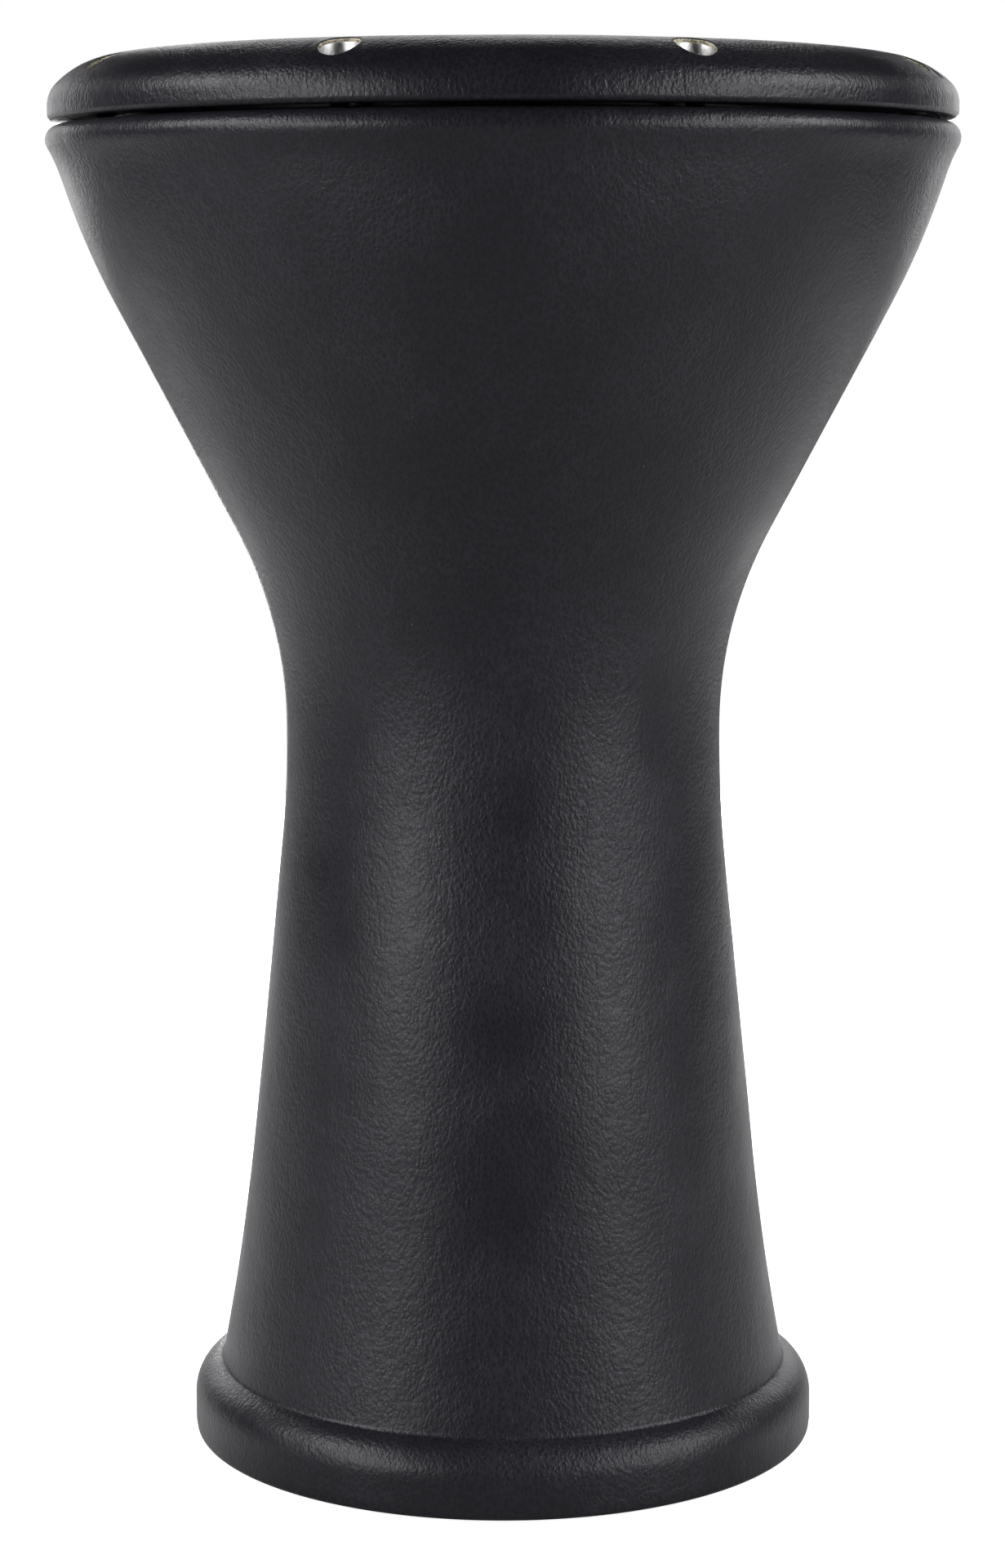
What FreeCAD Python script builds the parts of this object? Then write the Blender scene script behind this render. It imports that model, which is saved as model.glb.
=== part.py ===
"""Goblet drum (darbuka) with a cast aluminium shell, a leatherette cover and a screw-tensioned head.

Axis of the drum on +Z, the foot standing on Z = 0, the front of the drum facing -Y. Millimetres and degrees.
Every size is a cell of the sheet "dims"; the outlines and features below are bound to those cells.
"""
import FreeCAD
import Part
import Sketcher
from FreeCAD import Placement, Rotation, Vector
from math import cos, radians, sin
import os

doc = FreeCAD.newDocument("goblet_drum")

# ---------------------------------------------------------------- driving dimensions

DIMENSIONS = [
    # the two skins of leatherette and the wall of the casting
    ("cover", 1.2, "leatherette, glued on"),
    ("wall", 4.0, "cast wall of the shell"),
    # foot
    ("foot_radius", 97.6, "outside of the cast foot"),
    ("land_outer", 93.6, "outer edge of the ring that stands on the floor"),
    ("land_inner", 88.6, "bore of the thickened foot bead"),
    ("bead_height", 6.0, "height of the thickened foot bead"),
    ("bead_round", 1.0, "rounded edges of the foot bead"),
    ("hem_rebate", 1.35, "rebate under the foot that takes the folded hem"),
    ("hem_lift", 0.15, "hem stays this much above the floor"),
    ("foot_wall_top", 11.96, "upright stretch of the foot ends here"),
    ("corner", 0.8, "outer corner of the foot and of the ring"),
    # side of the goblet, from the foot up: radii and turns of its tangent stretches
    ("shoulder_round", 10.0, ""),
    ("shoulder_turn", 68.0, ""),
    ("shoulder_flat", 1.01, ""),
    ("instep_round", 3.0, ""),
    ("instep_turn", 57.15, ""),
    ("flare_round", 854.2, ""),
    ("flare_turn", 5.05, ""),
    ("neck_length", 89.6, "straight taper of the neck"),
    ("waist_round", 374.2, ""),
    ("waist_turn", 6.2, ""),
    ("throat_round", 136.2, ""),
    ("throat_turn", 27.3, ""),
    ("bowl_side", 77.3, "straight cone of the bowl"),
    ("bowl_round", 236.8, ""),
    ("bowl_turn", 8.9, ""),
    ("collar_length", 6.2, ""),
    ("collar_round", 51.0, ""),
    ("collar_turn", 10.2, ""),
    ("rim_round", 3.6, "rolled outer edge of the flange"),
    # flange and bearing edge at the top of the shell
    ("flange", 9.0, "thickness of the flange"),
    ("flange_fillet", 4.0, "fillet between flange and bowl"),
    ("flange_nose", 3.0, "rounded inner edge of the flange"),
    ("bearing_outer", 110.4, "outside of the upright bearing wall"),
    ("bearing_round", 2.0, "half the bearing wall, and its rounded crest"),
    ("bearing_height", 18.9, "crest above the flange"),
    ("bearing_fillet", 1.5, ""),
    # bosses and tapped holes
    ("bolts", 8, "number of tuning bolts"),
    ("first_bolt", 22.5, "angle of the first bolt from +X"),
    ("bolt_circle", 128.0, "radius of the bolt circle"),
    ("boss_circle", 126.0, "radius at which the bosses stand"),
    ("boss_radius", 6.5, ""),
    ("boss_drop", 7.8, "boss below the flange"),
    ("tapped_radius", 3.05, ""),
    ("tapped_depth", 13.0, ""),
    # head
    ("film", 0.25, "thickness of the film"),
    ("film_gap", 0.05, "film clear of the bearing crest"),
    ("collar_lean", 31.0, "lean of the formed collar from upright"),
    ("collar_slant", 5.5, "length of the leaning stretch"),
    ("collar_bend", 1.0, ""),
    ("collar_drop", 7.7, "upright stretch that sits in the hoop"),
    ("hoop_inner", 111.4, ""),
    ("hoop_outer", 119.6, ""),
    ("hoop_height", 7.4, ""),
    ("hoop_edge", 0.6, ""),
    ("slot_side", 0.25, "room beside the film in the hoop's slot"),
    ("slot_depth", 6.2, ""),
    # tension ring, measured above the flange
    ("ring_radius", 138.1, "outside of the cast ring"),
    ("ring_land", 2.7, "underside of the ring above the flange"),
    ("ring_hem", 4.0, "rebate that takes the folded hem, above the flange"),
    ("ring_wall_top", 6.6, "upright outer wall ends here"),
    ("ring_edge_round", 7.4, ""),
    ("ring_edge_turn", 45.5, ""),
    ("ring_crown_round", 27.5, ""),
    ("ring_lip_round", 1.4, ""),
    ("hoop_seat", 8.8, "face that presses on the hoop"),
    ("hoop_pocket", 120.0, ""),
    ("ring_hem_inner", 133.0, "where the rebate for the hem starts"),
    ("lip_fold", 14.2, "the cover ends this high inside the ring"),
    ("bolt_seat", 6.8, "floor of the counterbores"),
    ("counterbore", 5.75, "radius of the counterbores"),
    ("clearance_hole", 3.3, ""),
    ("cover_hole", 6.05, "radius of the holes punched in the ring cover"),
    # fasteners: M6 x 20 socket head screws on small washers
    ("washer_outer", 5.5, ""),
    ("washer_inner", 3.2, ""),
    ("washer_thick", 1.6, ""),
    ("thread_radius", 3.0, ""),
    ("bolt_length", 20.0, ""),
    ("screw_head_radius", 5.0, ""),
    ("screw_head", 6.0, ""),
    ("screw_chamfer", 0.6, ""),
    ("socket_flats", 5.0, "width across the flats of the key socket"),
    ("socket_depth", 3.2, ""),
]

sheet = doc.addObject("Spreadsheet::Sheet", "dims")
for row, (alias, value, note) in enumerate(DIMENSIONS, start=1):
    sheet.set(f"A{row}", str(value))
    sheet.setAlias(f"A{row}", alias)
    sheet.set(f"B{row}", note)
doc.recompute()


def size(alias):
    """Value of a cell of the sheet."""
    return float(sheet.get(alias))


# ---------------------------------------------------------------- outlines in sketches

ACROSS, UP, BACK, DOWN = 0, 90, 180, 270
FAR = 500


class Outline:
    """A closed outline walked edge by edge in an upright sketch: x is the radius, y the height.

    Every size is an expression on the sheet, and the matching constraint is bound to it.
    """

    def __init__(self, body, name, x, y):
        self.sketch = body.newObject("Sketcher::SketchObject", name)
        attach(self.sketch, body, "XZ_Plane")
        self.at = Vector(self.value(x), self.value(y), 0)
        self.start = (x, y)
        self.heading = 0.0
        self.last = None
        self.first = None

    def value(self, expression):
        found = self.sketch.evalExpression(str(expression))
        return float(getattr(found, "Value", found))

    def bind(self, constraint, expression):
        index = self.sketch.addConstraint(constraint)
        self.sketch.setExpression(f"Constraints[{index}]", str(expression))

    def _edge(self, geometry, begins, ends, tangent):
        """Adds an edge, joined to the one before it."""
        index = self.sketch.addGeometry(geometry, False)
        if self.last is None:
            self.first = (index, begins)
            self.bind(Sketcher.Constraint("DistanceX", index, begins, self.at.x), self.start[0])
            self.bind(Sketcher.Constraint("DistanceY", index, begins, self.at.y), self.start[1])
        else:
            kind = "Tangent" if tangent else "Coincident"
            self.sketch.addConstraint(Sketcher.Constraint(kind, *self.last, index, begins))
        self.last = (index, ends)
        return index

    def _straight(self, tangent, length, to_x, to_y):
        along = Vector(cos(radians(self.heading)), sin(radians(self.heading)), 0)
        if length is not None:
            reach = self.value(length)
        elif to_x is not None:
            reach = (self.value(to_x) - self.at.x) / along.x
        else:
            reach = (self.value(to_y) - self.at.y) / along.y
        if reach <= 0:
            raise ValueError(f"{self.sketch.Label}: an edge of length {reach:.3f} after {self.last}")
        end = self.at + along * reach
        index = self._edge(Part.LineSegment(self.at, end), 1, 2, tangent)
        if not tangent:
            kind = "Horizontal" if self.heading % 180 == 0 else "Vertical"
            self.sketch.addConstraint(Sketcher.Constraint(kind, index))
        if length is not None:
            self.bind(Sketcher.Constraint("Distance", index, reach), length)
        elif to_x is not None:
            self.bind(Sketcher.Constraint("DistanceX", index, 2, end.x), to_x)
        else:
            self.bind(Sketcher.Constraint("DistanceY", index, 2, end.y), to_y)
        self.at = end
        return self

    def line(self, heading, length=None, to_x=None, to_y=None):
        """A level or upright edge that starts at a corner."""
        self.heading = heading
        return self._straight(False, length, to_x, to_y)

    def onward(self, length=None, to_x=None, to_y=None):
        """A straight edge that carries on from an arc."""
        return self._straight(True, length, to_x, to_y)

    def arc(self, radius, turn, side):
        """An arc tangent to the edge before it: side 1 turns left and side -1 turns right."""
        r, span = self.value(radius), self.value(turn)
        across = radians(self.heading + 90 * side)
        centre = self.at + Vector(cos(across), sin(across), 0) * r
        begin = self.heading - 90 * side
        end = begin + span * side
        low, high = (begin, end) if side > 0 else (end, begin)
        circle = Part.Circle(centre, Vector(0, 0, 1), r)
        geometry = Part.ArcOfCircle(circle, radians(low), radians(high))
        begins, ends = (1, 2) if side > 0 else (2, 1)
        index = self._edge(geometry, begins, ends, True)
        self.bind(Sketcher.Constraint("Radius", index, r), radius)
        self.bind(Sketcher.Constraint("Angle", index, radians(span)), f"({turn}) * 1 deg")
        self.at = centre + Vector(cos(radians(end)), sin(radians(end)), 0) * r
        self.heading += span * side
        return self

    def close(self):
        """A last straight edge back to the start."""
        begin = Vector(self.value(self.start[0]), self.value(self.start[1]), 0)
        index = self.sketch.addGeometry(Part.LineSegment(self.at, begin), False)
        self.sketch.addConstraint(Sketcher.Constraint("Coincident", *self.last, index, 1))
        self.sketch.addConstraint(Sketcher.Constraint("Coincident", *self.first, index, 2))
        return self.sketch


def attach(sketch, body, role, lift="0"):
    """Puts a sketch on an origin plane of its own body, lifted along the plane's normal."""
    plane = next(o for o in body.Origin.OriginFeatures if o.Role == role)
    sketch.AttachmentSupport = [(plane, "")]
    sketch.MapMode = "FlatFace"
    if lift != "0":
        sketch.setExpression(".AttachmentOffset.Base.z", lift)
    doc.recompute()


def new_body(name):
    body = doc.addObject("PartDesign::Body", name)
    body.Label = name
    return body


def turn_solid(body, sketch, kind="PartDesign::Revolution"):
    """Revolves a sketch about the drum's axis, to add or, as a Groove, to cut."""
    before = 0.0 if kind.endswith("Revolution") else body.Shape.Volume
    feature = body.newObject(kind, "turned" if kind.endswith("Revolution") else "hollowed")
    feature.Profile = sketch
    feature.ReferenceAxis = (sketch, ["V_Axis"])
    feature.Angle = 360
    body.Tip = feature
    doc.recompute()
    changed = body.Shape.Volume - before
    if (changed <= 0) == kind.endswith("Revolution"):
        raise ValueError(f"{body.Label}: {feature.Name} changed the volume by {changed:.1f}")
    return feature


def circle_sketch(body, name, lift, circle, angle, radius):
    """A level sketch with one circle, standing on a pitch circle at an angle from +X."""
    sketch = body.newObject("Sketcher::SketchObject", name)
    attach(sketch, body, "XY_Plane", lift)
    at_radius, at_angle = sketch.evalExpression(circle), sketch.evalExpression(angle)
    centre = Vector(at_radius * cos(radians(at_angle)), at_radius * sin(radians(at_angle)), 0)
    hole = sketch.addGeometry(Part.Circle(centre, Vector(0, 0, 1), sketch.evalExpression(radius)), False)
    for constraint, expression in (
        (Sketcher.Constraint("Radius", hole, sketch.evalExpression(radius)), radius),
        (Sketcher.Constraint("DistanceX", hole, 3, centre.x), f"({circle}) * cos(({angle}) * 1 deg)"),
        (Sketcher.Constraint("DistanceY", hole, 3, centre.y), f"({circle}) * sin(({angle}) * 1 deg)"),
    ):
        index = sketch.addConstraint(constraint)
        sketch.setExpression(f"Constraints[{index}]", expression)
    doc.recompute()
    return sketch


def pad_or_pocket(body, kind, sketch, length, reverse):
    """Pads or pockets a sketch by a length, and checks that it did something."""
    before = body.Shape.Volume
    feature = body.newObject(kind, sketch.Name + "_feature")
    feature.Profile = sketch
    feature.Reversed = reverse
    feature.setExpression("Length", length)
    body.Tip = feature
    doc.recompute()
    if abs(body.Shape.Volume - before) < 1:
        raise ValueError(f"{body.Label}: {feature.Name} changed nothing")
    return feature


def repeat_round(body, features, sketch, count="dims.bolts"):
    """Repeats features about the drum's axis."""
    before = body.Shape.Volume
    pattern = body.newObject("PartDesign::PolarPattern", features[0].Name + "_pattern")
    pattern.Originals = features
    pattern.Axis = (sketch, ["N_Axis"])
    pattern.Angle = 360
    pattern.setExpression("Occurrences", count)
    body.Tip = pattern
    doc.recompute()
    if abs(body.Shape.Volume - before) < 1:
        raise ValueError(f"{body.Label}: {pattern.Name} repeated nothing")
    return pattern


# ---------------------------------------------------------------- the two shared outlines

def goblet_side(outline, skin):
    """The goblet's side from the top of the upright foot wall to the flange, grown outwards by a skin.

    It starts heading up and ends heading inwards along the top of the flange.
    """
    def outer(radius):
        return f"dims.{radius} + {skin}"

    def inner(radius):
        return f"dims.{radius} - ({skin})"

    outline.arc(outer("shoulder_round"), "dims.shoulder_turn", 1)
    outline.onward("dims.shoulder_flat")
    outline.arc(inner("instep_round"), "dims.instep_turn", -1)
    outline.arc(inner("flare_round"), "dims.flare_turn", -1)
    outline.onward("dims.neck_length")
    outline.arc(inner("waist_round"), "dims.waist_turn", -1)
    outline.arc(inner("throat_round"), "dims.throat_turn", -1)
    outline.onward("dims.bowl_side")
    outline.arc(outer("bowl_round"), "dims.bowl_turn", 1)
    return outline


BOWL_HEADING = (
    "(90 + dims.shoulder_turn - dims.instep_turn - dims.flare_turn - dims.waist_turn"
    " - dims.throat_turn + dims.bowl_turn)"
)


def goblet_rim(outline, skin):
    """From the bowl, round the rolled edge of the flange."""
    outline.onward("dims.collar_length")
    outline.arc(f"dims.collar_round - ({skin})", "dims.collar_turn", -1)
    outline.arc(f"dims.rim_round + {skin}", f"180 - {BOWL_HEADING} + dims.collar_turn", 1)
    return outline


def goblet_outside(body, name, skin):
    """The closed outline of the goblet's outside as a full solid, with its foot rebated for the hem."""
    outline = Outline(body, name, "0", "0")
    outline.line(ACROSS, to_x="dims.land_outer")
    outline.line(UP, to_y="dims.hem_rebate")
    outline.line(ACROSS, to_x="dims.foot_radius - dims.corner")
    outline.arc("dims.corner", "90", 1).onward(to_y="dims.foot_wall_top")
    return goblet_rim(goblet_side(outline, skin), skin)


def ring_outside(outline, skin):
    """The tension ring's outer wall and crown, from the folded hem to the inner lip, grown by a skin."""
    outline.line(ACROSS, to_x="dims.ring_radius - dims.corner")
    outline.arc(f"dims.corner + {skin}", "90", 1)
    outline.onward(to_y=f"{FLANGE_TOP} + dims.ring_wall_top")
    outline.arc(f"dims.ring_edge_round + {skin}", "dims.ring_edge_turn", 1)
    outline.arc(f"dims.ring_crown_round + {skin}", "90 - dims.ring_edge_turn", 1)
    outline.arc(f"dims.ring_lip_round + {skin}", "90", 1)
    return outline


def flange_height():
    """Height of the flange's top, which the stretches of the goblet's side add up to."""
    heading, height = 90.0, size("foot_wall_top")

    def arc(radius, turn, side):
        nonlocal heading, height
        after = heading + turn * side
        height += radius * side * (cos(radians(heading)) - cos(radians(after)))
        heading = after

    def straight(length):
        nonlocal height
        height += length * sin(radians(heading))

    arc(size("shoulder_round"), size("shoulder_turn"), 1)
    straight(size("shoulder_flat"))
    arc(size("instep_round"), size("instep_turn"), -1)
    arc(size("flare_round"), size("flare_turn"), -1)
    straight(size("neck_length"))
    arc(size("waist_round"), size("waist_turn"), -1)
    arc(size("throat_round"), size("throat_turn"), -1)
    straight(size("bowl_side"))
    arc(size("bowl_round"), size("bowl_turn"), 1)
    straight(size("collar_length"))
    arc(size("collar_round"), size("collar_turn"), -1)
    arc(size("rim_round"), 180 - heading, 1)
    return height


sheet.set(f"A{len(DIMENSIONS) + 1}", f"{flange_height():.6f}")
sheet.setAlias(f"A{len(DIMENSIONS) + 1}", "flange_top")
sheet.set(f"B{len(DIMENSIONS) + 1}", "the stretches of the side add up to this height")
doc.recompute()
FLANGE_TOP = "dims.flange_top"


# ---------------------------------------------------------------- shell and its cover

def make_shell():
    """One casting: foot, neck, bowl, flange with bosses, and the upright bearing wall."""
    body = new_body("shell")
    outside = goblet_outside(body, "outside", "0")
    outside.onward(to_x="dims.bearing_outer + dims.bearing_fillet")
    outside.arc("dims.bearing_fillet", "90", -1)
    outside.onward(to_y=f"{FLANGE_TOP} + dims.bearing_height - dims.bearing_round")
    outside.arc("dims.bearing_round", "90", 1)
    outside.onward(to_x="0")
    turn_solid(body, outside.close())

    inside = Outline(body, "inside", "0", "-1")
    inside.line(ACROSS, to_x="dims.land_inner + 2 * dims.bead_round")
    inside.line(UP, to_y="0")
    inside.line(BACK, to_x="dims.land_inner + dims.bead_round")
    inside.arc("dims.bead_round", "90", -1)
    inside.onward(to_y="dims.bead_height - dims.bead_round")
    inside.arc("dims.bead_round", "90", -1)
    inside.onward(to_x="dims.foot_radius - dims.wall")
    inside.line(UP, to_y="dims.foot_wall_top")
    goblet_side(inside, "-dims.wall")
    under = f"{FLANGE_TOP} - dims.flange"
    inside.onward(to_y=f"{under} - dims.flange_fillet * (1 + cos({BOWL_HEADING} * 1 deg))")
    inside.arc("dims.flange_fillet", f"180 - {BOWL_HEADING}", 1)
    inside.onward(to_x="dims.bearing_outer - 2 * dims.bearing_round + dims.flange_nose")
    inside.arc("dims.flange_nose", "90", -1)
    inside.onward(to_y=f"{FLANGE_TOP} + dims.bearing_height - dims.bearing_round")
    inside.arc("dims.bearing_round", "90", -1)
    inside.line(UP, to_y=str(FAR))
    inside.line(BACK, to_x="0")
    turn_solid(body, inside.close(), "PartDesign::Groove")

    boss_top = f"{FLANGE_TOP} - dims.flange / 2"
    boss = circle_sketch(body, "boss", boss_top, "dims.boss_circle", "dims.first_bolt", "dims.boss_radius")
    post = pad_or_pocket(body, "PartDesign::Pad", boss, "dims.flange / 2 + dims.boss_drop", True)
    repeat_round(body, [post], boss)

    tap = circle_sketch(body, "tap", FLANGE_TOP, "dims.bolt_circle", "dims.first_bolt", "dims.tapped_radius")
    hole = pad_or_pocket(body, "PartDesign::Pocket", tap, "dims.tapped_depth", False)
    repeat_round(body, [hole], tap)
    return body


def make_shell_cover():
    """Leatherette glued over the casting, its hems folded under the foot and over the flange."""
    body = new_body("shell_cover")
    inside_metal = "dims.foot_wall_top"
    outline = Outline(body, "leather", "dims.land_outer + 0.3", "dims.hem_lift")
    outline.line(ACROSS, to_x="dims.foot_radius - dims.corner")
    outline.arc("dims.corner + dims.cover", "90", 1).onward(to_y="dims.foot_wall_top")
    goblet_rim(goblet_side(outline, "dims.cover"), "dims.cover")
    outline.onward(to_x="dims.ring_hem_inner")
    outline.line(DOWN, to_y=f"{FLANGE_TOP} - dims.flange / 2")
    outline.line(BACK, to_x="0")
    outline.line(DOWN, to_y=inside_metal)
    outline.line(ACROSS, to_x="dims.land_outer + 0.3")
    turn_solid(body, outline.close())

    metal = goblet_outside(body, "metal", "0")
    metal.onward(to_x="0")
    turn_solid(body, metal.close(), "PartDesign::Groove")
    return body


# ---------------------------------------------------------------- head

HEAD_CREST = f"({FLANGE_TOP} + dims.bearing_height + dims.film_gap)"


def make_film():
    """The formed film: a flat playing surface, a bent edge, a leaning collar and an upright skirt."""
    body = new_body("head_film")
    inner_bend = "dims.bearing_round + dims.film_gap"
    outline = Outline(body, "film_section", "0", HEAD_CREST)
    outline.line(ACROSS, to_x="dims.bearing_outer - dims.bearing_round")
    outline.arc(inner_bend, "90 - dims.collar_lean", -1)
    outline.onward("dims.collar_slant")
    outline.arc("dims.collar_bend", "dims.collar_lean", -1)
    outline.onward("dims.collar_drop")
    outline.line(ACROSS, "dims.film")
    outline.line(UP, "dims.collar_drop")
    outline.arc("dims.collar_bend + dims.film", "dims.collar_lean", 1)
    outline.onward("dims.collar_slant")
    outline.arc(f"{inner_bend} + dims.film", "90 - dims.collar_lean", 1)
    outline.onward(to_x="0")
    turn_solid(body, outline.close())
    return body


SKIRT_RADIUS = (
    "(dims.bearing_outer - dims.bearing_round"
    " + (dims.bearing_round + dims.film_gap) * cos(dims.collar_lean * 1 deg)"
    " + dims.collar_slant * sin(dims.collar_lean * 1 deg)"
    " + dims.collar_bend * (1 - cos(dims.collar_lean * 1 deg)))"
)


def make_hoop():
    """The head's aluminium hoop: a channel that holds the film's skirt."""
    body = new_body("head_hoop")
    top = f"({FLANGE_TOP} + dims.hoop_seat)"
    outline = Outline(body, "channel", "dims.hoop_inner + dims.hoop_edge", f"{top} - dims.hoop_height")
    outline.line(ACROSS, to_x="dims.hoop_outer - dims.hoop_edge")
    outline.arc("dims.hoop_edge", "90", 1).onward(to_y=f"{top} - dims.hoop_edge")
    outline.arc("dims.hoop_edge", "90", 1)
    outline.onward(to_x=f"{SKIRT_RADIUS} + dims.film + dims.slot_side")
    outline.line(DOWN, "dims.slot_depth")
    outline.line(BACK, "dims.film + 2 * dims.slot_side")
    outline.line(UP, "dims.slot_depth - dims.hoop_edge")
    outline.line(BACK, to_x="dims.hoop_inner")
    outline.line(DOWN, to_y=f"{top} - dims.hoop_height + dims.hoop_edge")
    outline.arc("dims.hoop_edge", "90", 1)
    turn_solid(body, finish_on_start(outline))
    return body


def finish_on_start(outline):
    """Joins the last edge to the first without another edge, where the walk ends on its start."""
    outline.sketch.delConstraint(0)
    outline.sketch.delConstraint(0)
    outline.sketch.addConstraint(Sketcher.Constraint("Coincident", *outline.last, *outline.first))
    return outline.sketch


# ---------------------------------------------------------------- tension ring and its cover

def ring_section(body, name):
    """The cast ring: hoop pocket, land, rebate for the hem, outer wall, crown and lip."""
    outline = Outline(body, name, "dims.hoop_pocket", f"{FLANGE_TOP} + dims.ring_land")
    outline.line(ACROSS, to_x="dims.ring_hem_inner")
    outline.line(UP, to_y=f"{FLANGE_TOP} + dims.ring_hem")
    ring_outside(outline, "0")
    outline.onward(to_y=f"{FLANGE_TOP} + dims.hoop_seat")
    outline.line(ACROSS, to_x="dims.hoop_pocket")
    return outline.close()


def make_ring():
    """The cast tension ring with a counterbored hole for each bolt."""
    body = new_body("tension_ring")
    turn_solid(body, ring_section(body, "ring_section"))
    seat = f"{FLANGE_TOP} + dims.bolt_seat"
    bore = circle_sketch(body, "counterbores", seat, "dims.bolt_circle", "dims.first_bolt", "dims.counterbore")
    wide = pad_or_pocket(body, "PartDesign::Pocket", bore, "20", True)
    drill = circle_sketch(body, "drill", seat, "dims.bolt_circle", "dims.first_bolt", "dims.clearance_hole")
    narrow = pad_or_pocket(body, "PartDesign::Pocket", drill, "20", False)
    repeat_round(body, [wide, narrow], bore)
    return body


def make_ring_cover():
    """Leatherette over the ring's crown, folded in at the lip and under the outer wall."""
    body = new_body("ring_cover")
    hem = f"{FLANGE_TOP} + dims.ring_hem - dims.cover"
    seat = f"{FLANGE_TOP} + dims.bolt_seat"
    outline = Outline(body, "leather", "dims.ring_hem_inner + 0.3", hem)
    ring_outside(outline, "dims.cover")
    outline.onward(to_y=f"{FLANGE_TOP} + dims.lip_fold")
    outline.line(ACROSS, to_x="dims.hoop_pocket + 0.4")
    outline.line(DOWN, to_y=seat)
    outline.line(ACROSS, to_x="dims.ring_hem_inner + 0.3")
    turn_solid(body, outline.close())
    turn_solid(body, ring_section(body, "metal"), "PartDesign::Groove")
    punch = circle_sketch(body, "punched", seat, "dims.bolt_circle", "dims.first_bolt", "dims.cover_hole")
    hole = pad_or_pocket(body, "PartDesign::Pocket", punch, "20", True)
    repeat_round(body, [hole], punch)
    return body


# ---------------------------------------------------------------- fasteners

def place(thing, index, height):
    """Stands a fastener on the bolt circle."""
    angle = size("first_bolt") + index * 360 / size("bolts")
    spot = Vector(size("bolt_circle") * cos(radians(angle)), size("bolt_circle") * sin(radians(angle)), height)
    thing.Placement = Placement(spot, Rotation(Vector(0, 0, 1), angle))


def make_washer(index):
    """A plain washer, a disc cut by its bore."""
    name = f"washer_{index + 1}"
    disc = doc.addObject("Part::Cylinder", name + "_disc")
    disc.setExpression("Radius", "dims.washer_outer")
    disc.setExpression("Height", "dims.washer_thick")
    bore = doc.addObject("Part::Cylinder", name + "_bore")
    bore.setExpression("Radius", "dims.washer_inner")
    bore.setExpression("Height", "dims.washer_thick")
    washer = doc.addObject("Part::Cut", name)
    washer.Base, washer.Tool = disc, bore
    washer.Label = name
    place(washer, index, size("flange_top") + size("bolt_seat"))
    return washer


def make_bolt(index):
    """A socket head screw: head, key socket and a threaded shank, its seat face at Z = 0."""
    body = new_body(f"tuning_bolt_{index + 1}")
    outline = Outline(body, "screw_section", "0", "-dims.bolt_length")
    outline.line(ACROSS, to_x="dims.thread_radius - dims.screw_chamfer")
    outline.line(UP, "dims.screw_chamfer")
    outline.line(ACROSS, to_x="dims.thread_radius")
    outline.line(UP, to_y="0")
    outline.line(ACROSS, to_x="dims.screw_head_radius")
    outline.line(UP, to_y="dims.screw_head - dims.screw_chamfer")
    outline.arc("dims.screw_chamfer", "90", 1)
    outline.onward(to_x="0")
    turn_solid(body, outline.close())

    socket = body.newObject("Sketcher::SketchObject", "socket")
    attach(socket, body, "XY_Plane", "dims.screw_head")
    corner = size("socket_flats") / 2 / cos(radians(30))
    points = [Vector(corner * cos(radians(60 * k)), corner * sin(radians(60 * k)), 0) for k in range(6)]
    for k in range(6):
        socket.addGeometry(Part.LineSegment(points[k], points[(k + 1) % 6]), False)
    for k in range(6):
        socket.addConstraint(Sketcher.Constraint("Coincident", k, 2, (k + 1) % 6, 1))
    for k in range(6):
        for axis, at in (("DistanceX", points[k].x), ("DistanceY", points[k].y)):
            turn = "cos" if axis == "DistanceX" else "sin"
            index_ = socket.addConstraint(Sketcher.Constraint(axis, k, 1, at))
            reach = f"dims.socket_flats / 2 / cos(30 deg) * {turn}({60 * k} deg)"
            socket.setExpression(f"Constraints[{index_}]", reach)
    doc.recompute()
    pad_or_pocket(body, "PartDesign::Pocket", socket, "dims.socket_depth", False)
    place(body, index, size("flange_top") + size("bolt_seat") + size("washer_thick"))
    return body


# ---------------------------------------------------------------- build, check and write

parts = [make_shell(), make_shell_cover(), make_film(), make_hoop(), make_ring(), make_ring_cover()]
for number in range(int(size("bolts"))):
    parts += [make_washer(number), make_bolt(number)]
doc.recompute()

for thing in doc.Objects:
    if "Invalid" in thing.State or "Error" in thing.State:
        raise RuntimeError(f"{thing.Name} failed: {thing.State}")

os.makedirs("parts", exist_ok=True)
for thing in parts:
    if thing.Shape.isNull() or not thing.Shape.isValid():
        raise RuntimeError(f"{thing.Label} has a null or invalid shape")
    thing.Shape.exportStep(f"parts/{thing.Label}.step")
    print(f"{thing.Label}: {len(thing.Shape.Solids)} solid, {thing.Shape.Volume / 1000:.2f} cm3")
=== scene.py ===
from math import atan2, ceil, cos, hypot, pi, radians, sin

import bpy
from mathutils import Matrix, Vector, noise


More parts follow.
